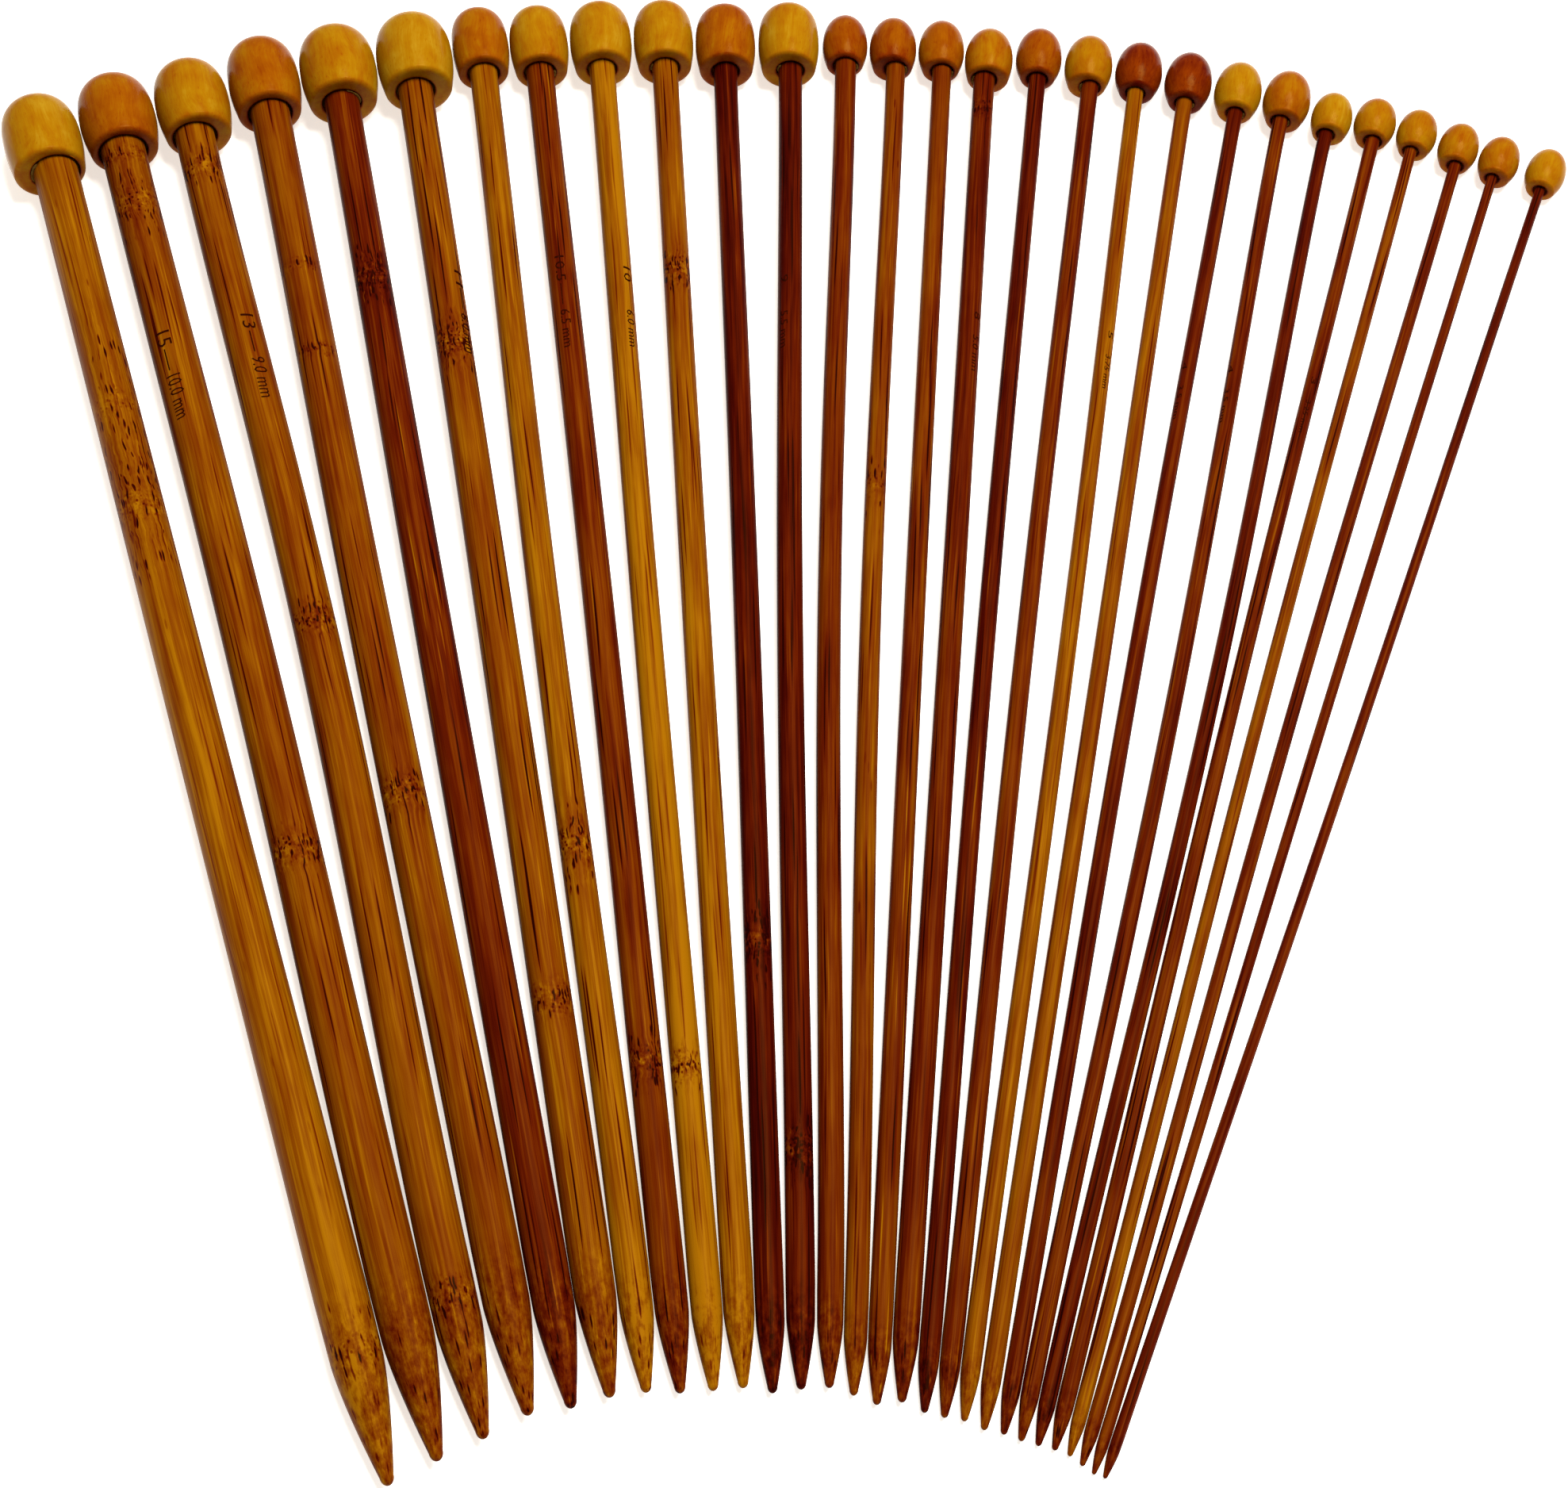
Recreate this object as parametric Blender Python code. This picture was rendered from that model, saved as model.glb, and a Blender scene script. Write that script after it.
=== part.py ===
"""A full set of straight bamboo knitting needles, fanned out on a table from the thickest pair to the thinnest.

Each needle is two pieces: a round shaft with a long tapered point, and a turned wooden knob with a blind bore that the
shaft's butt end is glued into. The needles lie side by side, resting on the knob's belly and on the shoulder of the point,
so each shaft slopes up by under one degree towards its knob. +Y is towards the knobs, +X runs from the thick needles to the
thin ones, and the table is z = 0.
"""

import math

import bpy
import numpy as np

MM = 0.001

# A point is ground over a length of this many diameters, and the shaft behind it is sanded a little thinner up to the
# shoulder, where it first has its full diameter and where it touches its neighbour and the table.
POINT_DIAMETERS = 2.4
SHOULDER_DIAMETERS = 3.6
NECK_SHARE = 0.965  # the radius where the point begins, as a share of the shaft's radius
TIP_SHARE = 0.26  # the same just behind the rounded end of a 10 mm needle
BLUNTING = 0.02  # and how much more of it each mm less of gauge leaves, as a thin point is ground less sharp
POINT_POWER = 1.45
POINT_STATIONS = (0.0, 0.22, 0.5, 0.78, 1.0)
TIP_DOME = 1.3  # the length of the rounded end, in its own radii

TIP_CLEARANCE = 0.05  # between two shafts lying shoulder to shoulder, mm
KNOB_CLEARANCE = 0.15  # between two knobs lying side by side, mm
BORE_WALL = 0.3  # the least annular land around a bore mouth, mm
BUTT_GAP = 0.3  # between the shaft's butt end and the bottom of its bore, mm
FIRST_LEAN = -19.8  # degrees from +Y of the leftmost needle

# Knob families: length, share of the length below the belly, face radius and edge rounding as shares of the belly radius,
# squareness of the domed end, radius of its flat, bore depth share, clearance around the shaft, knob sides, shaft sides.
FAMILIES = {
    "large": (20.5, 0.45, 0.86, 0.09, 3.0, 0.38, 0.70, 0.45, 24, 20),
    "medium": (18.0, 0.45, 0.86, 0.09, 3.1, 0.38, 0.70, 0.40, 20, 16),
    "small": (14.5, 0.42, 0.68, 0.10, 2.2, 0.30, 0.68, 0.35, 18, 14),
    "mini": (12.0, 0.42, 0.66, 0.10, 2.2, 0.30, 0.66, 0.35, 16, 12),
}

# One row for each needle from left to right, in mm: gauge, knob diameter, overall length, extra gap to the knob on its
# left, extra gap to the shaft on its left, how far it is pushed towards the knobs past that neighbour, and how far the
# knob's axis is off the shaft's.
NEEDLES = (
    (10.0, 17.6, 331.0, 0.0, 0.0, 0.0, -1.2),
    (10.0, 17.4, 331.0, 0.0, 0.0, 1.5, 0.4),
    (9.0, 17.0, 329.5, 0.0, 0.0, -2.0, 1.0),
    (9.0, 16.6, 330.5, 0.25, 0.5, 2.0, 0.0),
    (8.0, 17.8, 330.0, 0.0, 0.0, -4.0, 0.4),
    (8.0, 17.8, 330.0, 0.0, 0.0, 0.5, 0.8),
    (6.5, 13.4, 332.5, 0.0, 0.0, -5.5, 0.0),
    (6.5, 13.8, 332.0, 0.0, 0.0, -1.0, 0.4),
    (6.0, 14.6, 331.5, 0.25, 0.25, -2.0, 0.2),
    (6.0, 14.2, 331.0, 0.25, 0.0, 0.0, 0.0),
    (5.5, 14.2, 330.5, 0.25, 0.0, -3.0, 0.2),
    (5.5, 14.4, 330.0, 0.5, 0.25, 0.5, -0.4),
    (5.0, 10.8, 329.5, 0.75, 0.25, -1.5, -0.2),
    (4.5, 11.2, 330.0, 0.25, 0.0, -3.0, -0.8),
    (4.5, 11.0, 331.5, 0.25, 0.0, -1.5, -0.4),
    (5.0, 11.4, 329.0, 0.0, 0.0, 2.5, 0.8),
    (4.0, 11.0, 332.0, 0.5, 0.0, -5.0, 0.0),
    (4.0, 11.4, 331.5, 0.5, 0.0, -0.5, -0.8),
    (3.75, 11.2, 331.5, 0.5, 0.0, -1.0, 0.2),
    (3.75, 11.2, 331.5, 0.5, 0.25, -1.0, 0.2),
    (3.5, 11.2, 331.0, 0.5, 0.25, -1.0, -0.2),
    (3.5, 11.2, 331.5, 0.25, 0.0, -0.5, 0.6),
    (3.25, 9.6, 328.5, 0.5, 0.0, -1.0, 0.6),
    (3.25, 9.8, 329.5, 0.25, 0.0, 0.0, -0.4),
    (2.75, 9.4, 329.5, 0.25, 0.0, -2.0, 0.4),
    (2.75, 9.4, 329.5, 0.5, 0.0, -1.0, -0.4),
    (2.25, 9.4, 329.5, 0.25, 0.0, -2.5, 0.4),
    (2.25, 9.2, 330.0, 1.5, 0.0, 0.0, 0.0),
)

# Linear base colours: carbonised bamboo for the shafts, varnished wood for the knobs.
SHAFT_COLOURS = {"pale": (0.40, 0.20, 0.05), "mid": (0.27, 0.11, 0.03), "dark": (0.11, 0.03, 0.012)}
KNOB_COLOURS = {"honey": (0.62, 0.37, 0.10), "amber": (0.52, 0.22, 0.04), "red": (0.36, 0.10, 0.02)}
SHAFT_TONES = "mid mid mid pale dark pale pale dark pale pale dark dark mid mid mid dark dark dark pale mid dark dark dark mid mid dark mid dark"
KNOB_TONES = "honey honey honey honey honey honey amber honey honey honey honey honey amber amber amber honey amber honey red red honey honey honey honey honey honey honey honey"


def clear_scene():
    """Remove everything the new file starts with."""
    for ob in list(bpy.data.objects):
        bpy.data.objects.remove(ob, do_unlink=True)


def family(gauge):
    """The knob family that goes with a gauge."""
    if gauge >= 8.0:
        return "large"
    if gauge >= 5.5:
        return "medium"
    return "small" if gauge >= 3.5 else "mini"


def label(gauge, index):
    """A node name ending such as 3_75mm_a; the letter tells the two needles of one gauge apart."""
    twins = [i for i, row in enumerate(NEEDLES) if row[0] == gauge]
    return f"{gauge:g}".replace(".", "_") + "mm_" + "ab"[twins.index(index)]


def heading(lean):
    """The unit vector along a needle towards its knob, seen from above."""
    return np.array((math.sin(lean), math.cos(lean)))


def across(lean):
    """The unit vector to the right of a needle, seen from above."""
    return np.array((math.cos(lean), -math.sin(lean)))


def lay_out():
    """Place the needles one after another and give for each its tip on the plan, its lean and its two rest stations."""
    placed = []
    for gauge, knob_d, length, knob_gap, tip_gap, step, off in NEEDLES:
        shoulder = SHOULDER_DIAMETERS * gauge
        belly = length - FAMILIES[family(gauge)][0] * (1 - FAMILIES[family(gauge)][1])
        if not placed:
            lean, point = math.radians(FIRST_LEAN), np.zeros(2)
        else:
            last = placed[-1]
            aside = (gauge + last["gauge"]) / 2 + TIP_CLEARANCE + tip_gap
            wide = (knob_d + last["knob_d"]) / 2 + KNOB_CLEARANCE + knob_gap + last["off"] - off
            lean = last["lean"] + math.asin((wide - aside) / (belly - shoulder))
            point = last["point"] + across(last["lean"]) * aside + heading(last["lean"]) * step
        placed.append(
            dict(
                gauge=gauge, knob_d=knob_d, length=length, off=off, lean=lean, point=point,
                shoulder=shoulder, belly=belly, tip=point - heading(lean) * shoulder,
            )
        )
    return placed


def axes_of(needle):
    """The needle's tip and its three unit axes: to the right, along towards the knob, and up."""
    rise = (needle["knob_d"] - needle["gauge"]) / 2 / (needle["belly"] - needle["shoulder"])
    slope = math.atan(rise)
    flat = heading(needle["lean"])
    right = np.array((*across(needle["lean"]), 0.0))
    along = np.array((*(flat * math.cos(slope)), math.sin(slope)))
    tip = np.array((*needle["tip"], needle["gauge"] / 2 - rise * needle["shoulder"]))
    return tip, right, along, np.cross(right, along)


def shaft_profile(needle):
    """Stations of the shaft from its tip to its butt end: distance along, radius, sideways offset."""
    radius, reach = needle["gauge"] / 2, POINT_DIAMETERS * needle["gauge"]
    knob_length, share = FAMILIES[family(needle["gauge"])][0], FAMILIES[family(needle["gauge"])][6]
    tip = TIP_SHARE + BLUNTING * (10 - needle["gauge"])
    dome = TIP_DOME * tip * radius
    stations = [(0.0, 0.0), (0.3 * dome, 0.71 * tip * radius)]
    for q in POINT_STATIONS:
        grown = NECK_SHARE - (NECK_SHARE - tip) * (1 - q) ** POINT_POWER
        stations.append((dome + q * (reach - dome), grown * radius))
    stations.append((needle["shoulder"], radius))
    butt = needle["length"] - knob_length * (1 - share) - BUTT_GAP
    stations += [(butt, radius), (butt, 0.0)]
    return [(s, r, 0.0) for s, r in stations]


def knob_profile(needle):
    """Stations of the knob from the bottom of its bore, out over the mouth and the belly, to the middle of its far end."""
    length, below, face, edge, square, flat, share, clearance, _, _ = FAMILIES[family(needle["gauge"])]
    belly, off = needle["knob_d"] / 2, needle["off"]
    start = needle["length"] - length
    bore = needle["gauge"] / 2 + clearance
    rounding = edge * belly
    rim = max(face * belly, bore + abs(off) + BORE_WALL + rounding)
    bottom = start + length * share
    stations = [(bottom, 0.0, 0.0), (bottom, bore, 0.0), (start, bore, 0.0)]
    stations += [(start, rim - rounding, off), (start + 0.3 * rounding, rim - 0.3 * rounding, off)]
    for t in (0.11, 0.45, 1.0):
        stations.append((start + length * below * t, belly - (belly - rim) * (1 - t) ** 2, off))
    crown = length * (1 - below)
    for turn in (0.42, 0.66, 0.84):
        angle = turn * math.pi / 2
        lift = math.sin(angle) ** (2 / square)
        stations.append((start + length * below + crown * lift, belly * math.cos(angle) ** (2 / square), off))
    end = needle["length"]
    return stations + [(end, flat * belly, off), (end, 0.0, off)]


def lathe(name, needle, profile, sides, colour, roughness):
    """Turn a profile about the needle's axis into one closed, outward-facing mesh object."""
    tip, right, along, up = axes_of(needle)
    points, rings = [], []
    for s, r, off in profile:
        middle = tip + along * s + right * off
        if r == 0.0:
            rings.append([len(points)])
            points.append(middle)
            continue
        rings.append(list(range(len(points), len(points) + sides)))
        for k in range(sides):
            turn = 2 * math.pi * (k + 0.5) / sides
            points.append(middle + r * (math.cos(turn) * right + math.sin(turn) * up))
    faces = []
    for low, high in zip(rings, rings[1:]):
        for k in range(sides):
            j = (k + 1) % sides
            corners = [low[k % len(low)], high[k % len(high)], high[j % len(high)], low[j % len(low)]]
            faces.append(list(dict.fromkeys(corners)))
    mesh = bpy.data.meshes.new(name)
    mesh.from_pydata([tuple(p) for p in np.array(points) * MM], [], faces)
    mesh.validate()
    mesh.materials.append(varnish(name, colour, roughness))
    mesh.shade_smooth()
    mesh.set_sharp_from_angle(angle=math.radians(40))
    ob = bpy.data.objects.new(name, mesh)
    bpy.context.scene.collection.objects.link(ob)
    return ob


def varnish(name, colour, roughness):
    """A plain Principled material in one colour."""
    material = bpy.data.materials.new(name)
    material.use_nodes = True
    shader = material.node_tree.nodes["Principled BSDF"]
    shader.inputs["Base Color"].default_value = (*colour, 1.0)
    shader.inputs["Roughness"].default_value = roughness
    return material


def centre(objects):
    """Move the set so that the middle of its box is at x = y = 0 and its lowest point at z = 0."""
    spots = np.array([v.co for ob in objects for v in ob.data.vertices])
    low, high = spots.min(axis=0), spots.max(axis=0)
    move = np.array(((low[0] + high[0]) / 2, (low[1] + high[1]) / 2, low[2]))
    for ob in objects:
        for v in ob.data.vertices:
            v.co = np.array(v.co) - move


def main():
    clear_scene()
    objects = []
    tones = zip(SHAFT_TONES.split(), KNOB_TONES.split())
    for i, (needle, (shaft_tone, knob_tone)) in enumerate(zip(lay_out(), tones)):
        ending = label(needle["gauge"], i)
        knob_sides, shaft_sides = FAMILIES[family(needle["gauge"])][8:]
        objects.append(lathe("shaft_" + ending, needle, shaft_profile(needle), shaft_sides, SHAFT_COLOURS[shaft_tone], 0.5))
        objects.append(lathe("knob_" + ending, needle, knob_profile(needle), knob_sides, KNOB_COLOURS[knob_tone], 0.35))
    centre(objects)


main()
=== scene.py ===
"""The finished look of a fanned set of straight bamboo knitting needles: turned bamboo shafts with ground
points, varnished wooden knobs, the glue at their bores, the stamped sizes, and the pale table they lie on."""

import math

import bmesh
import bpy
import numpy as np
from bpy.props import FloatProperty, FloatVectorProperty, IntProperty, PointerProperty
from mathutils import Matrix, Vector


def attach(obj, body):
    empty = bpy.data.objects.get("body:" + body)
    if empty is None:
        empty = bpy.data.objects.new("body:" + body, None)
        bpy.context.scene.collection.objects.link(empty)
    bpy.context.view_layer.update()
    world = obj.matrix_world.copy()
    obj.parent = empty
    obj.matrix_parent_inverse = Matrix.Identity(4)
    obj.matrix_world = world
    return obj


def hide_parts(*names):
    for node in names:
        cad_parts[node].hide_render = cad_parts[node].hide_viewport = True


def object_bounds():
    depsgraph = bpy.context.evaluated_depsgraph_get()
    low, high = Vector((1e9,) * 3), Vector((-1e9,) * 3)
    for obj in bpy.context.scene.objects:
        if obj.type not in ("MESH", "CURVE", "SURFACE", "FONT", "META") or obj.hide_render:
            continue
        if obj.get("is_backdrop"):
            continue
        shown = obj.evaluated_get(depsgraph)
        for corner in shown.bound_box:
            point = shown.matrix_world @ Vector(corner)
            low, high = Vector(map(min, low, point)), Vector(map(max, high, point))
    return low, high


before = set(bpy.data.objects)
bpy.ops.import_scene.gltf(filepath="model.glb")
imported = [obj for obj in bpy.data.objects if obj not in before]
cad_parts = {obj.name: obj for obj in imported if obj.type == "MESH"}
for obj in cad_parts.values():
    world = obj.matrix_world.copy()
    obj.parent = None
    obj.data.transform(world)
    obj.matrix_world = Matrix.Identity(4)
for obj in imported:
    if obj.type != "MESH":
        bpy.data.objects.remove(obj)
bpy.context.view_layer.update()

bl_info = {
    "name": "Straight Knitting Needles",
    "version": (1, 0, 0),
    "blender": (4, 5, 0),
    "location": "3D View > Sidebar > Needles",
    "description": "Turns the shafts and knobs of a fanned needle set, marks their sizes and sets the table",
    "category": "Object",
}

MM = 0.001
FULL_TURN = 2 * math.pi

WORN = 0.18  # how far a knob's bore is worn wide, in mm
MOUTH = 0.20  # radius of the bore's worn mouth, in mm
FACE_RINGS = 4  # rings over a knob's flat face
TONED = 310  # how far from the point a shaft's tone reaches that of its knob end, in mm
WAX_TINT, WAX_GLOSS = (1.0, 0.55, 0.10, 1.0), 0.02
VARNISH_TINT, LATHE_RELIEF = (1.0, 0.62, 0.10, 1.0), 0.00003
GLUE_RELIEF = 0.0001
KNOB_UNEVENNESS = 0.0035  # how far a knob strays from round, as a share of its radius
INK_LIFT = 1.006  # where the ink stands, as a share of the shaft's radius
LEAST_MARK = 0.95  # height of the figures on the thinnest needles, in mm
INK_DEPTH = 0.015  # half the thickness of the ink, in mm
FONT_SCALE = 1.38  # the font's size for figures one unit high
CUTS = 8  # lines that a word is bent along, its two edges among them
THICK, DASHED = 5.2, 6.2  # gauges in mm above which the gap in a mark is wide, and above which it holds a dash
WIDE_GAP, NARROW_GAP = 8.0, 4.5  # from the metric size to the number, in mm
DIGIT = 2.0  # length of one digit of the number, in mm
METRIC_LENGTH, METRIC_GROWTH = 7.8, 0.38  # length of the metric size in mm, and its growth for each mm of gauge

TABLE_REACH, TABLE_DROP = 3.0, 0.00002  # half the table's side and its distance under the needles, in metres
TABLE_GLOW = (1.0, 0.95, 0.88, 1.0)
KEY_SPOT, KEY_SIZE, KEY_COLOUR = (0.32, 0.24, 1.28), (0.70, 0.55), (1.0, 0.985, 0.955)
ROOM_COLOUR = (1.0, 0.99, 0.97, 1.0)
AIM = (65.11, 154.51)  # the spot on the table that the camera looks at, from the first needle's point, in mm
SENSOR = 36.0  # width of the camera's frame, in mm

# One row for each needle from left to right: name ending, bamboo tone at the point and at the knob (0 charred,
# 1 straw), sideways bow in mm, strength of dark fibres, pale fibres and short dashes, and the culm's joints as
# (mm from the point, strength, reach in mm).
SHAFTS = (
    ("10mm_a", 0.86, 0.78, 0.0, 0.30, 0.1, 0.05, ((213, 0.6, 26), (240, 0.35, 40), (24, 0.5, 12))),
    ("10mm_b", 0.70, 0.66, 1.2, 0.60, 0.1, 0.0, ((292, 0.75, 16), (306, 0.5, 4), (123, 0.8, 9))),
    ("9mm_a", 0.67, 0.72, 2.2, 0.70, 0.3, 0.0, ((173, 0.7, 8), (297, 0.6, 9), (26, 0.7, 8))),
    ("9mm_b", 0.72, 0.62, -0.4, 0.60, 0.3, 0.0, ((127, 0.8, 10), (238, 0.5, 3), (262, 0.4, 3))),
    ("8mm_a", 0.42, 0.40, -0.2, 0.55, 0.7, 0.0, ((256, 1.0, 12),)),
    ("8mm_b", 0.72, 0.66, 0.2, 1.00, 0.5, 0.0, ((234, 1.0, 12), (77, 0.7, 8))),
    ("6_5mm_a", 0.88, 0.78, -1.0, 0.75, 0.3, 0.0, ((110, 1.0, 14),)),
    ("6_5mm_b", 0.52, 0.48, 0.4, 0.70, 0.5, 0.0, ((63, 1.0, 9),)),
    ("6mm_a", 0.97, 0.92, -0.4, 0.35, 0.1, 0.0, ((62, 1.0, 8),)),
    ("6mm_b", 0.84, 0.76, -0.2, 0.70, 0.3, 0.0, ((252, 1.0, 10),)),
    ("5_5mm_a", 0.27, 0.24, 0.4, 0.40, 0.4, 0.0, ((88, 0.9, 12),)),
    ("5_5mm_b", 0.31, 0.28, -1.0, 0.40, 0.4, 0.0, ((45, 0.9, 10),)),
    ("5mm_a", 0.49, 0.47, -2.0, 0.45, 0.4, 0.0, ()),
    ("4_5mm_a", 0.66, 0.62, -1.6, 0.45, 0.3, 0.06, ((196, 0.4, 10),)),
    ("4_5mm_b", 0.53, 0.53, -0.2, 0.90, 0.9, 0.0, ()),
    ("5mm_b", 0.46, 0.36, 0.2, 0.40, 0.3, 0.0, ((304, 0.5, 6),)),
    ("4mm_a", 0.31, 0.26, -0.8, 0.40, 0.7, 0.0, ()),
    ("4mm_b", 0.52, 0.41, -0.8, 0.45, 0.4, 0.0, ()),
    ("3_75mm_a", 0.76, 0.80, 0.8, 0.35, 0.1, 0.0, ()),
    ("3_75mm_b", 0.68, 0.70, 0.2, 0.35, 0.1, 0.0, ()),
    ("3_5mm_a", 0.42, 0.32, -0.8, 0.45, 0.3, 0.0, ()),
    ("3_5mm_b", 0.48, 0.40, 1.6, 0.60, 0.4, 0.0, ()),
    ("3_25mm_a", 0.30, 0.32, 2.1, 0.45, 0.2, 0.0, ()),
    ("3_25mm_b", 0.50, 0.44, -0.6, 0.65, 0.5, 0.0, ()),
    ("2_75mm_a", 0.74, 0.60, -0.8, 0.55, 0.2, 0.0, ()),
    ("2_75mm_b", 0.52, 0.44, -1.0, 0.50, 0.4, 0.0, ()),
    ("2_25mm_a", 0.53, 0.36, -0.4, 0.50, 0.2, 0.0, ()),
    ("2_25mm_b", 0.36, 0.28, 0.4, 0.35, 0.2, 0.0, ()),
)

# Knob tones in the same order: 0 is red-brown, 1 is pale honey.
KNOB_TONES = (
    0.74, 0.48, 0.66, 0.50, 0.68, 0.77, 0.53, 0.67, 0.72, 0.69, 0.47, 0.72, 0.35, 0.33,
    0.44, 0.53, 0.34, 0.62, 0.15, 0.17, 0.68, 0.52, 0.72, 0.62, 0.63, 0.58, 0.54, 0.65,
)  # fmt: skip

# Size marks in the same order: the number in the old gauge system, the turn from the top of the shaft towards
# its right in degrees, and how far the metric size starts from the point, in mm.
MARKS = (
    ("15", 168, 242), ("15", -15, 242), ("13", 25, 241), ("13", 150, 241), ("11", 160, 242),
    ("11", 58, 242), ("10.5", 190, 242), ("10.5", -5, 242), ("10", 42, 241), ("10", 175, 241),
    ("9", 160, 240), ("9", -28, 240), ("8", 150, 238), ("7", 185, 238), ("7", 140, 238),
    ("8", 40, 238), ("6", 170, 238), ("6", 150, 238), ("5", 32, 239), ("5", 160, 239),
    ("4", -32, 235), ("4", -38, 237), ("3", 150, 239), ("3", 5, 239), ("2", 170, 238),
    ("2", 150, 238), ("1", 160, 238), ("1", 175, 238),
)  # fmt: skip

# Glue at the bore mouth: name ending, turn from the top towards the right and arc in degrees, thickness in mm.
GLUE = (
    ("10mm_a", -75, 70, 0.55),
    ("8mm_a", 60, 80, 0.35),
    ("6_5mm_b", 105, 50, 0.45),
    ("6mm_b", -80, 40, 0.35),
    ("5_5mm_b", -70, 45, 0.35),
    ("5mm_a", 100, 60, 0.40),
    ("4_5mm_a", 95, 70, 0.45),
    ("4_5mm_b", 110, 60, 0.50),
    ("5mm_b", -100, 70, 0.45),
    ("4mm_b", -95, 70, 0.45),
    ("3_75mm_b", 100, 50, 0.40),
    ("3_5mm_a", 100, 60, 0.40),
    ("3_5mm_b", 95, 60, 0.35),
)

# Knob families by the least gauge in mm: share of the length below the belly, face radius and rim rounding as
# shares of the belly radius, squareness of the domed end, and the radius of its flat as such a share.
FAMILIES = (
    (8.0, 0.45, 0.86, 0.13, 3.0, 0.38),
    (5.5, 0.45, 0.86, 0.13, 3.1, 0.38),
    (3.5, 0.42, 0.68, 0.15, 2.2, 0.30),
    (0.0, 0.42, 0.66, 0.15, 2.2, 0.30),
)


# ----------------------------------------------------------------------------------------------------- sizes


class ShaftSizes(bpy.types.PropertyGroup):
    """How the shafts are turned and ground."""

    point: FloatProperty(
        name="Point length", description="Length of the ground point in shaft diameters",
        default=2.4, min=1.0,
    )
    shoulder: FloatProperty(
        name="Shoulder", description="From the tip to the full width, in shaft diameters",
        default=3.6, min=1.0,
    )
    neck: FloatProperty(
        name="Neck width", description="Width where the point begins as a share of the shaft's",
        default=0.965, min=0.5, max=1.0,
    )
    tip: FloatProperty(
        name="Tip width",
        description="Width just behind the rounded end of a 10 mm needle as a share of the shaft's",
        default=0.26, min=0.05, max=0.6,
    )
    blunting: FloatProperty(
        name="Blunting", description="How much that share grows for each mm less of gauge",
        default=0.02, min=0.0, max=0.04,
    )
    swell: FloatProperty(
        name="Point curve", description="1 is a straight cone; more is a fuller point",
        default=1.4, min=1.0,
    )
    unevenness: FloatProperty(
        name="Unevenness",
        description="How far the sanded surface strays from round, as a share of the radius",
        default=0.003, min=0.0,
    )
    sides: IntProperty(name="Sides", description="Faces around the thickest shaft", default=52, min=12)
    rings: IntProperty(
        name="Rings", description="Rings along the straight part of a shaft",
        default=84, min=8,
    )


class BambooFinish(bpy.types.PropertyGroup):
    """The tones of steam-browned bamboo, from charred to straw."""

    charred: FloatVectorProperty(
        name="Charred", description="Darkest fibres",
        subtype="COLOR", default=(0.0090, 0.00020, 0.00010), min=0, max=1,
    )
    mahogany: FloatVectorProperty(
        name="Mahogany", description="Darkest shafts",
        subtype="COLOR", default=(0.0290, 0.00090, 0.00010), min=0, max=1,
    )
    chestnut: FloatVectorProperty(
        name="Chestnut", description="Dark shafts",
        subtype="COLOR", default=(0.0550, 0.00400, 0.00012), min=0, max=1,
    )
    russet: FloatVectorProperty(
        name="Russet", description="Middling shafts",
        subtype="COLOR", default=(0.0870, 0.01430, 0.00015), min=0, max=1,
    )
    amber: FloatVectorProperty(
        name="Amber", description="Pale shafts",
        subtype="COLOR", default=(0.1230, 0.03300, 0.00020), min=0, max=1,
    )
    straw: FloatVectorProperty(
        name="Straw", description="Palest fibres",
        subtype="COLOR", default=(0.1800, 0.06600, 0.00060), min=0, max=1,
    )
    roughness: FloatProperty(
        name="Roughness", description="Roughness of the waxed surface",
        default=0.42, min=0, max=1,
    )
    relief: FloatProperty(
        name="Fibre relief", description="Depth of the fibres",
        subtype="DISTANCE", default=0.00004, min=0,
    )


class KnobFinish(bpy.types.PropertyGroup):
    """The tones and varnish of the turned knobs."""

    cherry: FloatVectorProperty(
        name="Cherry", description="Reddest knobs",
        subtype="COLOR", default=(0.0530, 0.0019, 0.0002), min=0, max=1,
    )
    russet: FloatVectorProperty(
        name="Russet", description="Red-brown knobs",
        subtype="COLOR", default=(0.1130, 0.0142, 0.0002), min=0, max=1,
    )
    amber: FloatVectorProperty(
        name="Amber", description="Orange knobs",
        subtype="COLOR", default=(0.1620, 0.0409, 0.0003), min=0, max=1,
    )
    honey: FloatVectorProperty(
        name="Honey", description="Golden knobs",
        subtype="COLOR", default=(0.1980, 0.0839, 0.0008), min=0, max=1,
    )
    cream: FloatVectorProperty(
        name="Cream", description="Palest wood",
        subtype="COLOR", default=(0.2430, 0.1380, 0.0060), min=0, max=1,
    )
    roughness: FloatProperty(
        name="Roughness", description="Roughness of the varnish",
        default=0.20, min=0, max=1,
    )
    varnish: FloatProperty(
        name="Varnish", description="Strength of the varnish's reflections",
        default=0.03, min=0, max=1,
    )
    sides: IntProperty(name="Sides", description="Faces around a knob", default=64, min=12)


class TrimSizes(bpy.types.PropertyGroup):
    """The printed sizes and the glue."""

    mark_height: FloatProperty(
        name="Mark height", description="Height of the figures as a share of the gauge",
        default=0.34, min=0.05,
    )
    ink: FloatVectorProperty(
        name="Ink", description="Colour of the printed size",
        subtype="COLOR", default=(0.0110, 0.0012, 0.0003), min=0, max=1,
    )
    glue: FloatVectorProperty(
        name="Glue", description="Colour of the dried glue",
        subtype="COLOR", default=(0.080, 0.045, 0.010), min=0, max=1,
    )


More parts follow.
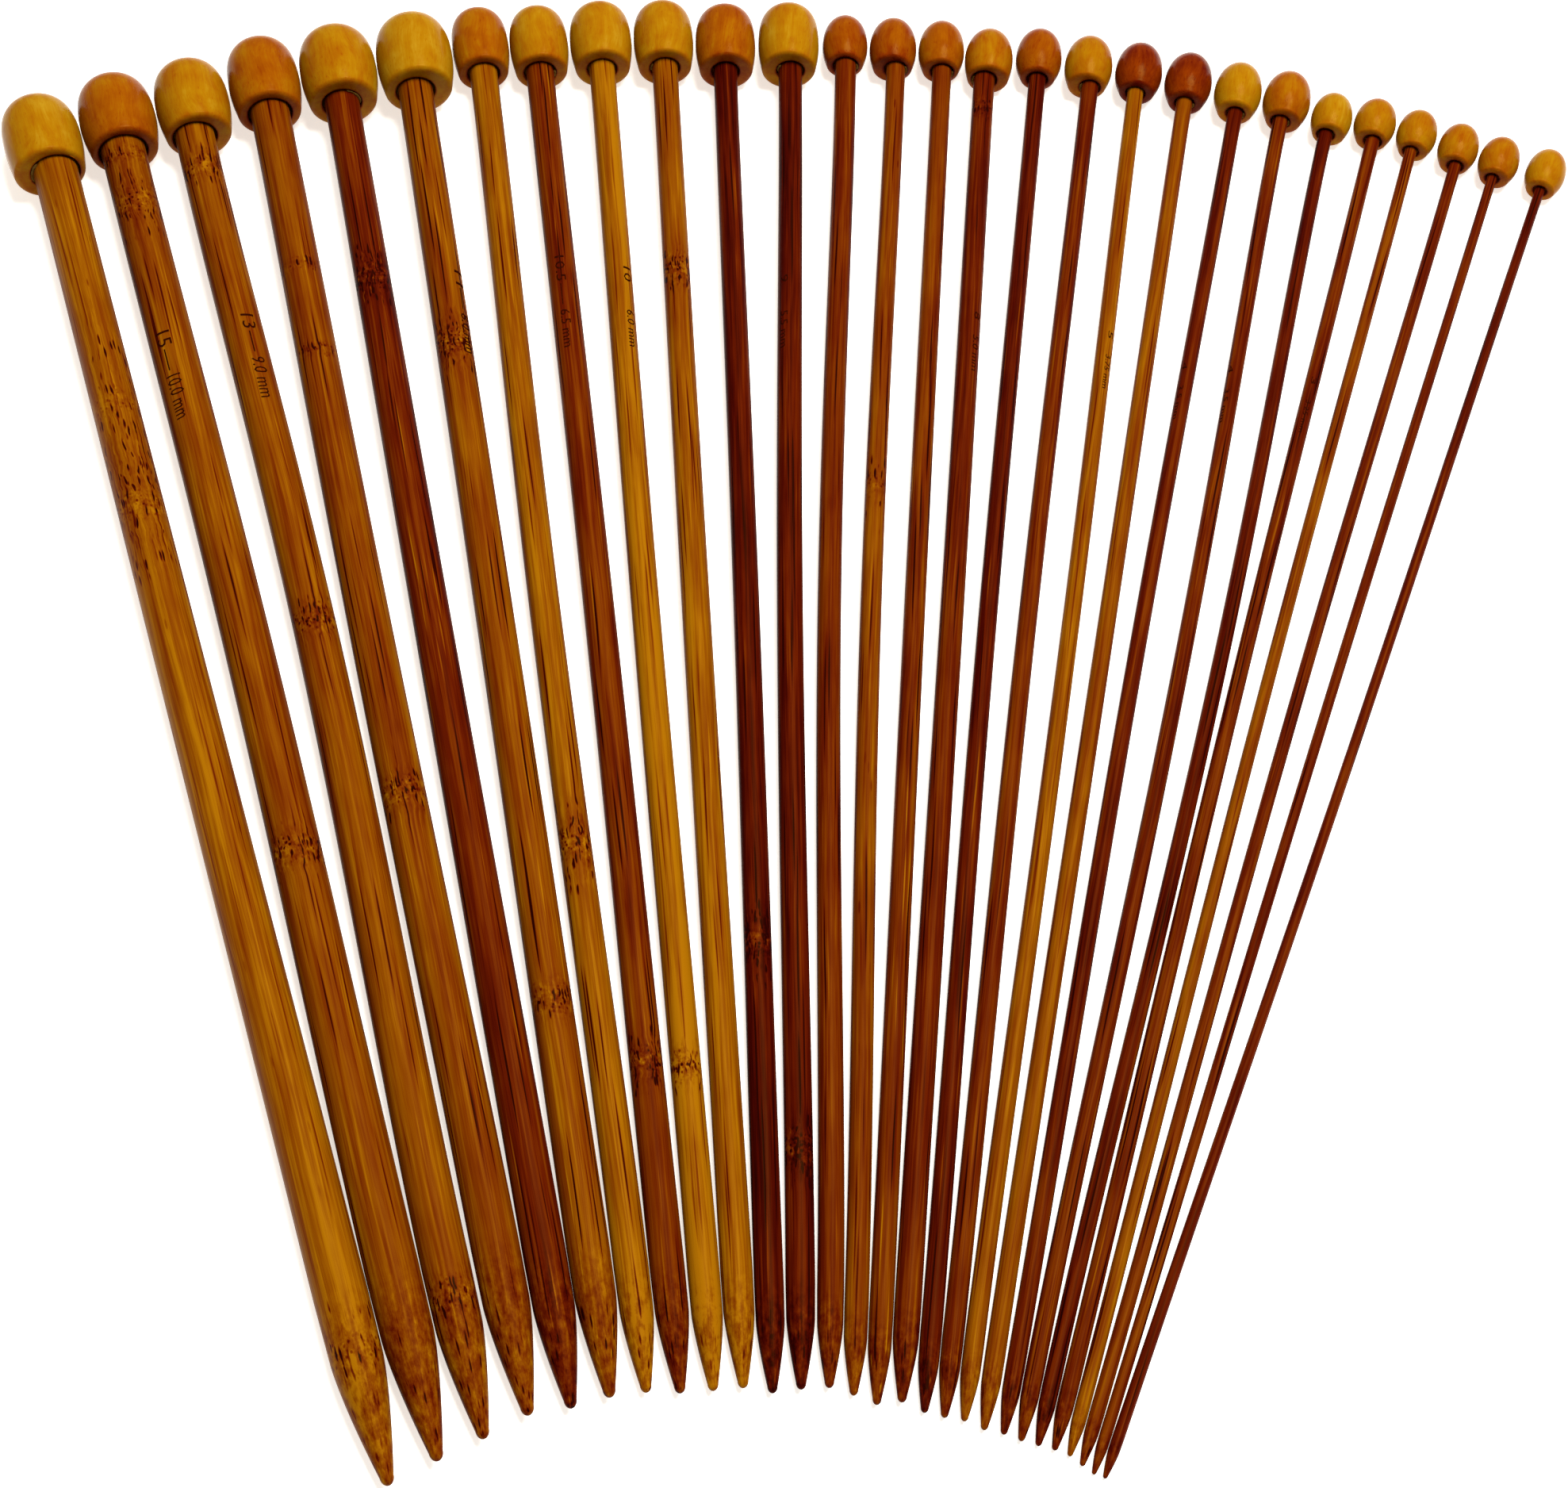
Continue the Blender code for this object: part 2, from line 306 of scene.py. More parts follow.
class StageSizes(bpy.types.PropertyGroup):
    """The table, the lights and the camera."""

    paper: FloatVectorProperty(
        name="Table", description="Colour of the table",
        subtype="COLOR", default=(0.78, 0.765, 0.73), min=0, max=1,
    )
    glow: FloatProperty(
        name="Table glow", description="Light that comes through the table's sheet",
        default=0.70, min=0,
    )
    key: FloatProperty(
        name="Key light", description="Power of the large soft light overhead",
        subtype="POWER", unit="POWER", default=50.0, min=0,
    )
    fill: FloatProperty(name="Fill light", description="Strength of the room's light", default=0.35, min=0)
    lens: FloatProperty(
        name="Lens", description="Focal length on a 36 mm frame",
        subtype="DISTANCE_CAMERA", default=61.27, min=1,
    )
    elevation: FloatProperty(
        name="Elevation", description="Camera's angle above the table",
        subtype="ANGLE", default=math.radians(61.0),
    )
    distance: FloatProperty(
        name="Distance", description="From the camera to the point it looks at",
        subtype="DISTANCE", default=0.549, min=0.05,
    )
    roll: FloatProperty(
        name="Roll", description="Turn of the camera about its own line of sight",
        subtype="ANGLE", default=0.034,
    )


GROUPS = {
    "needle_shafts": ShaftSizes,
    "needle_bamboo": BambooFinish,
    "needle_knobs": KnobFinish,
    "needle_trim": TrimSizes,
    "needle_stage": StageSizes,
}


# -------------------------------------------------------------------------------------------------- finishes


class Wire:
    """A node's output as a number to reckon with; each operator adds one Math node."""

    def __init__(self, finish, socket):
        self.finish, self.socket = finish, socket

    def _math(self, operation, *terms):
        return self.finish.node("ShaderNodeMath", {"operation": operation}, dict(enumerate(terms)))

    def __add__(self, other):
        return self._math("ADD", self, other)

    def __radd__(self, other):
        return self._math("ADD", other, self)

    def __sub__(self, other):
        return self._math("SUBTRACT", self, other)

    def __rsub__(self, other):
        return self._math("SUBTRACT", other, self)

    def __mul__(self, other):
        return self._math("MULTIPLY", self, other)

    def __rmul__(self, other):
        return self._math("MULTIPLY", other, self)

    def __abs__(self):
        return self._math("ABSOLUTE", self)

    def step(self, low, high, start=0.0, end=1.0):
        """A smooth step from start at low to end at high."""
        settings = {"interpolation_type": "SMOOTHSTEP", "clamp": True}
        values = {"Value": self, "From Min": low, "From Max": high, "To Min": start, "To Max": end}
        return self.finish.node("ShaderNodeMapRange", settings, values)

    def hump(self, middle, reach):
        """1 at middle, falling smoothly to 0 at reach on both sides."""
        return abs(self - middle).step(reach, 0.0)


class Finish:
    """A material and the shader nodes added to it."""

    def __init__(self, name, **shader):
        self.material = bpy.data.materials.new(name)
        self.material.use_nodes = True
        self.tree = self.material.node_tree
        self.shader = self.tree.nodes["Principled BSDF"]
        self.feed(self.shader, {key.replace("_", " "): value for key, value in shader.items()})

    def feed(self, node, values):
        for key, value in values.items():
            if isinstance(value, Wire):
                self.tree.links.new(value.socket, node.inputs[key])
            else:
                node.inputs[key].default_value = value

    def node(self, kind, settings, values, out=0):
        """Any node: its kind, its settings, the values or wires of its inputs, and which output to use."""
        node = self.tree.nodes.new(kind)
        for key, value in settings.items():
            if key == "stops":
                while len(node.color_ramp.elements) < len(value):
                    node.color_ramp.elements.new(1.0)
                for element, (position, colour) in zip(node.color_ramp.elements, value):
                    element.position, element.color = position, (*colour, 1.0)
            else:
                setattr(node, key, value)
        self.feed(node, values)
        if isinstance(out, tuple):
            return [Wire(self, node.outputs[key]) for key in out]
        return Wire(self, node.outputs[out])

    def grain(self):
        """Each point's distances right, along and up from its needle's point, in mm."""
        return self.node("ShaderNodeAttribute", {"attribute_name": "grain"}, {}, "Vector")

    def parts(self, vector):
        """The three numbers of a vector."""
        return self.node("ShaderNodeSeparateXYZ", {}, {0: vector}, (0, 1, 2))

    def point(self, x, y, z):
        return self.node("ShaderNodeCombineXYZ", {}, {0: x, 1: y, 2: z})

    def noise(self, place, scale, detail=2.0, out=0, roughness=0.5):
        values = {"Vector": place, "Scale": scale, "Detail": detail, "Roughness": roughness}
        return self.node("ShaderNodeTexNoise", {"noise_dimensions": "3D"}, values, out)

    def cells(self, place, out=0):
        """Distance to the nearest of scattered points about one unit apart, or that point's random colour."""
        values = {"Vector": place, "Scale": 1.0}
        return self.node("ShaderNodeTexVoronoi", {"voronoi_dimensions": "3D"}, values, out)

    def ramp(self, factor, stops):
        return self.node("ShaderNodeValToRGB", {"stops": stops}, {0: factor})

    def relief(self, height, depth, strength=1.0):
        values = {"Height": height, "Distance": depth, "Strength": strength}
        self.feed(self.shader, {"Normal": self.node("ShaderNodeBump", {}, values)})


def tone_stops(group, names):
    """Evenly spaced ramp stops from a group's named colours."""
    last = len(names) - 1
    return [(i / last, tuple(getattr(group, name))) for i, name in enumerate(names)]


def bamboo(ending, seed, gauge, point, knob, dark, pale, dashes, joints):
    """Browned bamboo read in the needle's own mm: fibres run along it and wander, bundles show as long dark or
    pale lines, joints of the culm bend the fibres and cut the bundles into dashes and pits, and the ground point
    is mottled."""
    look = bpy.context.scene.needle_bamboo
    gloss = dict(Specular_IOR_Level=WAX_GLOSS, Specular_Tint=WAX_TINT)
    finish = Finish("bamboo_" + ending, Roughness=look.roughness, **gloss)
    place = finish.grain()
    x, y, z = finish.parts(place)
    x, z = x + 7.31 * seed, z + 3.17 * seed

    drift = finish.noise(finish.point(x * 0.10, y * 0.011 + seed, z * 0.10), 1.0, 2.0, "Color")
    drift_x, _, drift_z = finish.parts(drift)
    fibre_x, fibre_z = x + (drift_x - 0.5) * 2.2, z + (drift_z - 0.5) * 2.2
    pull, swirl_x = 0.0, 0.0
    if joints:
        for spot, strength, reach in joints:
            pull = y.hump(spot, reach) * strength + pull
        swirl = finish.noise(finish.point(x * 0.33, y * 0.20, z * 0.33), 1.0, 2.0, "Color")
        swirl_x, _, swirl_z = finish.parts(swirl)
        fibre_x, fibre_z = fibre_x + pull * (swirl_x - 0.5) * 3.0, fibre_z + pull * (swirl_z - 0.5) * 3.0

    fine = finish.noise(finish.point(fibre_x * 1.7, y * 0.030, fibre_z * 1.7), 1.0, 3.0, 0, 0.65)
    ribbons = finish.noise(finish.point(fibre_x * 0.62, y * 0.009 + seed, fibre_z * 0.62), 1.0, 2.0)
    patches = finish.noise(finish.point(x * 0.09, y * 0.035, z * 0.09), 1.0, 3.0, 0, 0.6)
    tone = y * ((knob - point) / TONED) + point
    tone = tone + (fine - 0.5) * 0.85 + (ribbons - 0.5) * 0.60 + (patches - 0.5) * 0.40

    bundles = finish.cells(finish.point(fibre_x * 1.15, y * 0.017, fibre_z * 1.15)).step(0.30, 0.12)
    tone = tone - bundles * (0.75 * dark + 0.10)
    if pale:
        glints = finish.cells(finish.point(fibre_x * 1.2 + 41.0, y * 0.02, fibre_z * 1.2)).step(0.26, 0.08)
        tone = tone + glints * (0.55 * pale)
    if joints or dashes:
        flecks, chance = finish.cells(finish.point(fibre_x * 1.35 + 9.0, y * 0.22, fibre_z * 1.35), (0, 1))
        picked = finish.parts(chance)[0]
        flecks = flecks.step(0.40, 0.20) * (pull + dashes - picked * 0.85).step(0.0, 0.15)
        tone = tone - flecks * 0.75
    if joints:
        core = 0.0
        for spot, strength, reach in joints:
            core = (y + (swirl_x - 0.5) * 6.0).hump(spot, min(reach, 5.0)) * strength + core
        pits = finish.cells(finish.point(x * 0.95, y * 0.75 + 5.0, z * 0.95)).step(0.36, 0.12) * core
        cloud = finish.noise(finish.point(x * 0.55, y * 0.5, z * 0.55), 1.0, 3.0, 0, 0.7)
        tone = tone - pits * 0.8 + core * (cloud - 0.47) * 2.0 - pull * 0.10
    ground = y.step(4.0 * gauge, 2.2 * gauge)
    mottle = finish.noise(finish.point(x * 0.75, y * 0.42, z * 0.75), 1.0, 4.0, 0, 0.65)
    tone = tone + ground * ((mottle - 0.52) * 1.1 - 0.03)

    names = ("charred", "mahogany", "chestnut", "russet", "amber", "straw")
    finish.feed(finish.shader, {"Base Color": finish.ramp(tone, tone_stops(look, names))})
    finish.feed(finish.shader, {"Roughness": (0.5 - fine) * 0.25 + bundles * 0.10 + look.roughness})
    finish.relief(fine * 0.8 - bundles * 0.7 + (mottle * ground) * 0.5, look.relief)
    return finish.material


def knob_wood(ending, seed, tone_value, start, end, bore):
    """Close-grained turned wood under varnish: soft figure along the knob, faint lathe rings, darker end grain
    where the stain soaked in, painted shade on the face round the bore and down the bore's wall, and small
    pores."""
    look = bpy.context.scene.needle_knobs
    gloss = dict(Specular_IOR_Level=look.varnish, Specular_Tint=VARNISH_TINT)
    finish = Finish("varnish_" + ending, Roughness=look.roughness, **gloss)
    place = finish.grain()
    x, y, z = finish.parts(place)
    # painted shade: the face round the bore and the bore's wall are darkened where the gap about the shaft lies
    # in shadow
    bore_shade = (x * x + z * z).step((bore + 0.75) ** 2, (bore + 0.1) ** 2) * y.step(start + 2.0, start + 1.0)
    x, z = x + 5.7 * seed, z + 2.9 * seed
    sway = finish.noise(finish.point(x * 0.12, y * 0.06 + seed, z * 0.12), 1.0, 1.0)
    x = x + (sway - 0.5) * 6.0
    figure = finish.noise(finish.point(x * 0.55, y * 0.075, z * 0.55), 1.0, 3.0, 0, 0.6)
    hairs = finish.noise(finish.point(x * 3.2, y * 0.22, z * 3.2), 1.0, 2.0)
    cloud = finish.noise(finish.point(x * 0.16, y * 0.14, z * 0.16), 1.0, 3.0, 0, 0.6)
    pores = finish.cells(finish.point(x * 1.5, y * 0.35, z * 1.5)).step(0.22, 0.08)
    soaked = y.step(end - 3.2, end + 0.6) + y.step(start + 1.4, start - 0.2)
    tone = (figure - 0.5) * 0.42 + (cloud - 0.5) * 0.50 + (hairs - 0.5) * 0.22 + tone_value
    # the painted shade round the bore darkens the tone here
    tone = tone - pores * 0.10 - soaked * 0.14 - bore_shade * 0.45
    names = ("cherry", "russet", "amber", "honey", "cream")
    finish.feed(finish.shader, {"Base Color": finish.ramp(tone, tone_stops(look, names))})
    finish.feed(finish.shader, {"Roughness": (cloud - 0.5) * 0.16 + soaked * 0.15 + look.roughness})
    rings = finish.noise(finish.point(y * 2.6, seed, 0.0), 1.0, 2.0)
    finish.relief(hairs * 0.5 + rings * 0.8 - pores * 0.6, LATHE_RELIEF)
    return finish.material


def ink():
    """Stamped ink that has sunk into the fibres and worn a little."""
    look = bpy.context.scene.needle_trim
    finish = Finish("stamped_ink", Roughness=0.6, Specular_IOR_Level=0.0)
    place = finish.grain()
    worn = finish.noise(place, 1.6, 3.0, 0, 0.7).step(0.48, 0.78)
    faded = tuple(3.0 * part for part in look.ink)
    stops = [(0.0, tuple(look.ink)), (1.0, faded)]
    finish.feed(finish.shader, {"Base Color": finish.ramp(worn, stops)})
    return finish.material


def dried_glue():
    """Cream glue squeezed out and dried to a dull skin."""
    look = bpy.context.scene.needle_trim
    finish = Finish("dried_glue", Roughness=0.45, Specular_IOR_Level=0.0)
    place = finish.grain()
    lumps = finish.noise(place, 1.8, 3.0, 0, 0.7)
    browned = tuple(part * share for part, share in zip(look.glue, (0.75, 0.5, 0.25)))
    stops = [(0.0, browned), (1.0, tuple(look.glue))]
    finish.feed(finish.shader, {"Base Color": finish.ramp(lumps.step(0.35, 0.65), stops)})
    finish.relief(lumps, GLUE_RELIEF)
    return finish.material


# -------------------------------------------------------------------------------------------------- surfaces


def unit(vector):
    return vector / np.linalg.norm(vector)


class Needle:
    """One needle's place and sizes in mm, read off its two CAD nodes. Its own axes are right, along and up."""

    def __init__(self, ending):
        shaft, knob = self.corners("shaft_" + ending), self.corners("knob_" + ending)
        self.ending = ending
        self.tip = shaft[np.argmax(np.linalg.norm(shaft - knob.mean(axis=0), axis=1))]
        reach = np.linalg.norm(shaft - self.tip, axis=1)
        self.along = unit(shaft[reach > reach.max() - 0.5].mean(axis=0) - self.tip)
        self.right = unit(np.cross(self.along, (0.0, 0.0, 1.0)))
        self.up = np.cross(self.right, self.along)
        axes = np.stack([self.right, self.along, self.up], axis=1)
        shaft, knob = (shaft - self.tip) @ axes, (knob - self.tip) @ axes
        self.butt = shaft[:, 1].max()
        self.radius = np.hypot(shaft[:, 0], shaft[:, 2]).max()
        self.start, self.end = knob[:, 1].min(), knob[:, 1].max()
        self.off = (knob[:, 0].min() + knob[:, 0].max()) / 2
        self.belly = np.hypot(knob[:, 0] - self.off, knob[:, 2]).max()
        mouth = knob[knob[:, 1] < self.start + 0.01]
        self.bore = np.hypot(mouth[:, 0], mouth[:, 2]).min()
        inside = knob[np.hypot(knob[:, 0], knob[:, 2]) < self.bore + 0.01]
        self.bottom = inside[inside[:, 1] < (self.start + self.end * 3) / 4][:, 1].max()
        self.family = next(row for row in FAMILIES if round(2 * self.radius, 2) >= row[0])
        self.bow = 0.0

    @staticmethod
    def corners(node):
        co = np.array([v.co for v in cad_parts[node].data.vertices]) / MM
        return np.unique(np.round(co, 4), axis=0)

    def axis_shift(self, along):
        """How far the bowed shaft stands to the right of its straight axis: bow (4 t (1 - t))^2, where t runs
        from 0 at the point's shoulder to 1 at the knob."""
        shoulder = bpy.context.scene.needle_shafts.shoulder * 2 * self.radius
        t = np.clip((along - shoulder) / (self.start - shoulder), 0.0, 1.0)
        return self.bow * (4 * t * (1 - t)) ** 2

    def place(self, across, along, rise):
        """Points in the whole set's frame, in metres, from distances right, along and up in mm."""
        out = across[..., None] * self.right + along[..., None] * self.along + rise[..., None] * self.up
        return (self.tip + out) * MM


def surface(name, needle, across, along, rise, material):
    """A closed piece from a grid of rings: rows run along, columns run round from right to up, and the first and
    last rows are gathered into poles. The same three numbers are kept on the mesh as its grain."""
    rings, sides = across.shape
    spots = np.stack([across, along, rise], axis=-1)
    poles = spots[[0, -1]].mean(axis=1)
    local = np.concatenate([poles[:1], spots[1:-1].reshape(-1, 3), poles[1:]])
    bow = needle.axis_shift(local[:, 1])
    world = needle.place(local[:, 0] + bow, local[:, 1], local[:, 2])
    count, last = rings - 2, len(local) - 1
    k = np.arange(sides)
    j = (k + 1) % sides
    low = 1 + sides * np.arange(count - 1)[:, None]
    quads = np.stack([low + k, low + sides + k, low + sides + j, low + j], axis=-1).reshape(-1, 4)
    first = np.stack([np.zeros_like(k), 1 + k, 1 + j], axis=-1)
    final = last - sides
    end = np.stack([final + k, np.full_like(k, last), final + j], axis=-1)
    mesh = bpy.data.meshes.new(name)
    mesh.from_pydata(world.tolist(), [], first.tolist() + quads.tolist() + end.tolist())
    mesh.shade_smooth()
    keep_grain(mesh, local)
    return finished(name, mesh, material)


def keep_grain(mesh, local):
    grain = mesh.attributes.new("grain", "FLOAT_VECTOR", "POINT")
    grain.data.foreach_set("vector", np.asarray(local, np.float32).ravel())


def finished(name, mesh, material):
    mesh.materials.append(material)
    piece = bpy.data.objects.new(name, mesh)
    bpy.context.scene.collection.objects.link(piece)
    return piece


def ripple(turn, along, rng, waves, length):
    """A smooth unevenness between about -1 and 1: a sum of cosines in the turn and the distance along."""
    total = np.zeros(np.broadcast(turn, along).shape)
    for around in range(1, waves + 1):
        phase, twist = rng.uniform(0, FULL_TURN), rng.normal()
        total += np.cos(around * turn + phase + twist * along * FULL_TURN / length) / (around * waves**0.5)
    return total


def shaft_rings(needle):
    """Distance along and radius of each ring: an elliptical end, then neck - (neck - tip)(1 - q)^swell over the
    ground point as q runs from 0 to 1, then an even slope from neck up to the shoulder, then straight to the
    butt, which is closed flat."""
    sizes = bpy.context.scene.needle_shafts
    radius = needle.radius
    tip = sizes.tip + sizes.blunting * (10 - 2 * radius)
    dome, point, shoulder = 1.3 * tip * radius, sizes.point * 2 * radius, sizes.shoulder * 2 * radius
    a = np.linspace(0, 1, 9)
    q = np.linspace(0, 1, 30)[1:]
    u = np.linspace(0, 1, 8)[1:]
    body = np.linspace(shoulder, needle.butt, sizes.rings)[1:]
    s = [dome * a**2, dome + q * (point - dome), point + u * (shoulder - point), body, [needle.butt]]
    rounded = tip * np.sqrt(1 - (1 - a**2) ** 2)
    ground = sizes.neck - (sizes.neck - tip) * (1 - q) ** sizes.swell
    sanded = 1 - (1 - sizes.neck) * (1 - u)
    r = [rounded, ground, sanded, np.ones_like(body), [0.0]]
    return np.concatenate(s), radius * np.concatenate(r)


def knob_rings(needle):
    """Distance along, radius and sideways offset of each ring of a knob: up the bore wall and round its worn
    mouth, over the flat face, round the rim by a quarter ellipse, out to the belly by a parabola, over a
    superellipse to the flat end."""
    _, below, face, rounding, square, flat = needle.family
    start, end, belly, bore = needle.start, needle.end, needle.belly, needle.bore + WORN
    length = end - start
    round_off = rounding * belly
    rim = max(face * belly, bore + abs(needle.off) + 0.3 + 0.7 * round_off)
    quarter = np.linspace(0, math.pi / 2, 7)
    s = [[needle.bottom, needle.bottom], start + MOUTH * (1 - np.sin(quarter))]
    r = [[0.0, bore], bore + MOUTH * (1 - np.cos(quarter))]
    s.append(np.full(FACE_RINGS, start))
    r.append(np.linspace(bore + MOUTH, rim - round_off, FACE_RINGS + 1)[1:])
    low = start + 0.8 * round_off
    s.append(start + 0.8 * round_off * (1 - np.cos(quarter[1:])))
    side = (low - start) / (length * below)
    low_r = belly - (belly - rim) * (1 - side) ** 2
    r.append(rim - round_off + (low_r - rim + round_off) * np.sin(quarter[1:]))
    t = np.linspace(side, 1, 14)[1:]
    s.append(start + length * below * t)
    r.append(belly - (belly - rim) * (1 - t) ** 2)
    angle = np.linspace(0, 1, 22)[1:] * math.pi / 2
    radius = belly * np.maximum(np.cos(angle), 0) ** (2 / square)
    keep = radius > flat * belly * 1.06
    s.append((start + length * below + length * (1 - below) * np.sin(angle) ** (2 / square))[keep])
    r.append(radius[keep])
    s.append([end - 0.02, end, end])
    r.append([flat * belly, flat * belly * 0.5, 0.0])
    s, r = np.concatenate(s), np.concatenate(r)
    in_bore = 2 + len(quarter)
    share = np.ones(len(s))
    share[:in_bore] = 0.0
    share[in_bore : in_bore + FACE_RINGS] = np.linspace(0.25, 1, FACE_RINGS)
    return s, r, needle.off * share


def turned(name, needle, s, r, off, sides, wobble, material):
    """Rings turned about the needle's axis, with a wobble that scales each ring's radius."""
    turn = FULL_TURN * np.arange(sides) / sides
    radius = r[:, None] * (1 + wobble(turn[None, :], s[:, None]))
    across = radius * np.cos(turn) + off[:, None]
    rise = radius * np.sin(turn)
    return surface(name, needle, across, np.broadcast_to(s[:, None], across.shape), rise, material)


def stand_in(piece, kind, ending):
    """The piece rides on its needle and stands for the CAD node, which is hidden."""
    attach(piece, "needle_" + ending)
    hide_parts(kind + ending)
    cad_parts[kind + ending].data.materials[0].name


def needles():
    """Every needle with its bow, in order from left to right."""
    found = []
    for row in SHAFTS:
        needle = Needle(row[0])
        needle.bow = row[3]
        found.append(needle)
    return found


# ------------------------------------------------------------------------------------------------- operators


class NEEDLES_OT_turn_shafts(bpy.types.Operator):
    """Turn the bamboo shafts, grind their points and finish them"""

    bl_idname = "needles.turn_shafts"
    bl_label = "Turn Shafts"

    def execute(self, context):
        sizes = context.scene.needle_shafts
        for seed, (needle, row) in enumerate(zip(needles(), SHAFTS), start=1):
            ending, point, knob, _, dark, pale, dashes, joints = row
            rng = np.random.default_rng(100 + seed)
            s, r = shaft_rings(needle)
            sides = max(28, 4 * round(sizes.sides * (needle.radius / 5.0) ** 0.5 / 4))
            material = bamboo(ending, seed, 2 * needle.radius, point, knob, dark, pale, dashes, joints)

            def wobble(turn, along, rng=rng):
                return sizes.unevenness * ripple(turn, along, rng, 5, 160.0)

            piece = turned("bamboo_shaft_" + ending, needle, s, r, np.zeros_like(s), sides, wobble, material)
            stand_in(piece, "shaft_", ending)
        return {"FINISHED"}


class NEEDLES_OT_turn_knobs(bpy.types.Operator):
    """Turn the wooden knobs, bore them and varnish them"""

    bl_idname = "needles.turn_knobs"
    bl_label = "Turn Knobs"

    def execute(self, context):
        sizes = context.scene.needle_knobs
        for seed, (needle, tone) in enumerate(zip(needles(), KNOB_TONES), start=1):
            rng = np.random.default_rng(200 + seed)
            s, r, off = knob_rings(needle)
            material = knob_wood(needle.ending, seed, tone, needle.start, needle.end, needle.bore)

            def wobble(turn, along, rng=rng):
                return KNOB_UNEVENNESS * ripple(turn, along, rng, 3, 60.0)

            piece = turned("turned_knob_" + needle.ending, needle, s, r, off, sizes.sides, wobble, material)
            stand_in(piece, "knob_", needle.ending)
        return {"FINISHED"}


class NEEDLES_OT_squeeze_glue(bpy.types.Operator):
    """Lay the beads of dried glue at the bore mouths"""

    bl_idname = "needles.squeeze_glue"
    bl_label = "Squeeze Glue"

    def execute(self, context):
        material = dried_glue()
        found = {needle.ending: needle for needle in needles()}
        for seed, (ending, turn, arc, thick) in enumerate(GLUE, start=1):
            needle, rng = found[ending], np.random.default_rng(300 + seed)
            a = np.linspace(-0.5, 0.5, 25)[:, None]
            b = FULL_TURN * np.arange(14)[None, :] / 14
            lumpy = 1 + 0.35 * ripple(FULL_TURN * a, b * 0, rng, 4, 1.0)
            size = thick * np.sqrt(np.maximum(1 - (2 * a) ** 2, 0)) * lumpy
            angle = math.radians(90 - turn) - math.radians(arc) * a
            radius = (needle.radius + needle.bore) / 2 + 0.8 * size * np.cos(b)
            across, rise = radius * np.cos(angle), radius * np.sin(angle)
            along = needle.start + 0.7 * size * np.sin(b) + 0 * across
            piece = surface("glue_bead_" + ending, needle, across, along, rise, material)
            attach(piece, "needle_" + ending)
        return {"FINISHED"}


class NEEDLES_OT_stamp_sizes(bpy.types.Operator):
    """Stamp each needle's size along its shaft"""

    bl_idname = "needles.stamp_sizes"
    bl_label = "Stamp Sizes"

    def execute(self, context):
        look, material = context.scene.needle_trim, ink()
        for needle, (number, turn, metric) in zip(needles(), MARKS):
            gauge = 2 * needle.radius
            height = max(look.mark_height * gauge, LEAST_MARK)
            size = f"{round(gauge, 2):g}"
            size = size if "." in size else size + ".0"
            gap = WIDE_GAP if gauge > THICK else NARROW_GAP
            length = DIGIT * (len(number.replace(".", "")) + (0.5 if "." in number else 0))
            metric_length = METRIC_LENGTH + METRIC_GROWTH * gauge
            words = [(number, metric + gap + length, length), (size + " mm", metric, metric_length)]
            if gauge > DASHED:
                words.append(("–", metric + gap - 0.8, gap - 2.2))
            points, faces = [], []
            for word, start, length in words:
                spots, corners = figures(word, height, start, length)
                faces += [[k + sum(map(len, points)) for k in face] for face in corners]
                points.append(spots)
            along, side, lift = np.concatenate(points).T
            angle = math.radians(90 - turn) - side / needle.radius
            radius = needle.radius * INK_LIFT + lift
            across, rise = radius * np.cos(angle), radius * np.sin(angle)
            mesh = bpy.data.meshes.new("size_mark_" + needle.ending)
            world = needle.place(across + needle.axis_shift(along), along, rise)
            mesh.from_pydata(world.tolist(), [], faces)
            keep_grain(mesh, np.stack([across, along, rise], axis=1))
            piece = finished("size_mark_" + needle.ending, mesh, material)
            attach(piece, "needle_" + needle.ending)
        return {"FINISHED"}


def figures(word, height, start, length):
    """A word as a thin closed mesh, cut across often enough to bend round the shaft: its points as mm from the
    needle's point, mm across the word from its middle and mm of thickness, and its faces. It fills the length
    that is given."""
    curve = bpy.data.curves.new("figures", "FONT")
    curve.body = word
    curve.size = height * FONT_SCALE
    curve.extrude = INK_DEPTH
    curve.resolution_u = 2
    line = bpy.data.objects.new("figures", curve)
    mesh = bpy.data.meshes.new_from_object(line)
    bpy.data.objects.remove(line)
    bpy.data.curves.remove(curve)
    form = bmesh.new()
    form.from_mesh(mesh)
    bpy.data.meshes.remove(mesh)
    bmesh.ops.remove_doubles(form, verts=form.verts, dist=1e-5)
    levels = [v.co.y for v in form.verts]
    for cut in np.linspace(min(levels), max(levels), CUTS)[1:-1]:
        everything = form.verts[:] + form.edges[:] + form.faces[:]
        bmesh.ops.bisect_plane(form, geom=everything, plane_co=(0, cut, 0), plane_no=(0, 1, 0), dist=1e-5)
    bmesh.ops.triangulate(form, faces=form.faces)
    form.verts.index_update()
    points = np.array([v.co for v in form.verts])
    faces = [[v.index for v in face.verts] for face in form.faces]
    form.free()
    low, high = points[:, 0].min(), points[:, 0].max()
    points[:, 0] = start - (points[:, 0] - low) * length / (high - low)
    points[:, 1] -= height / 2
    return points, faces


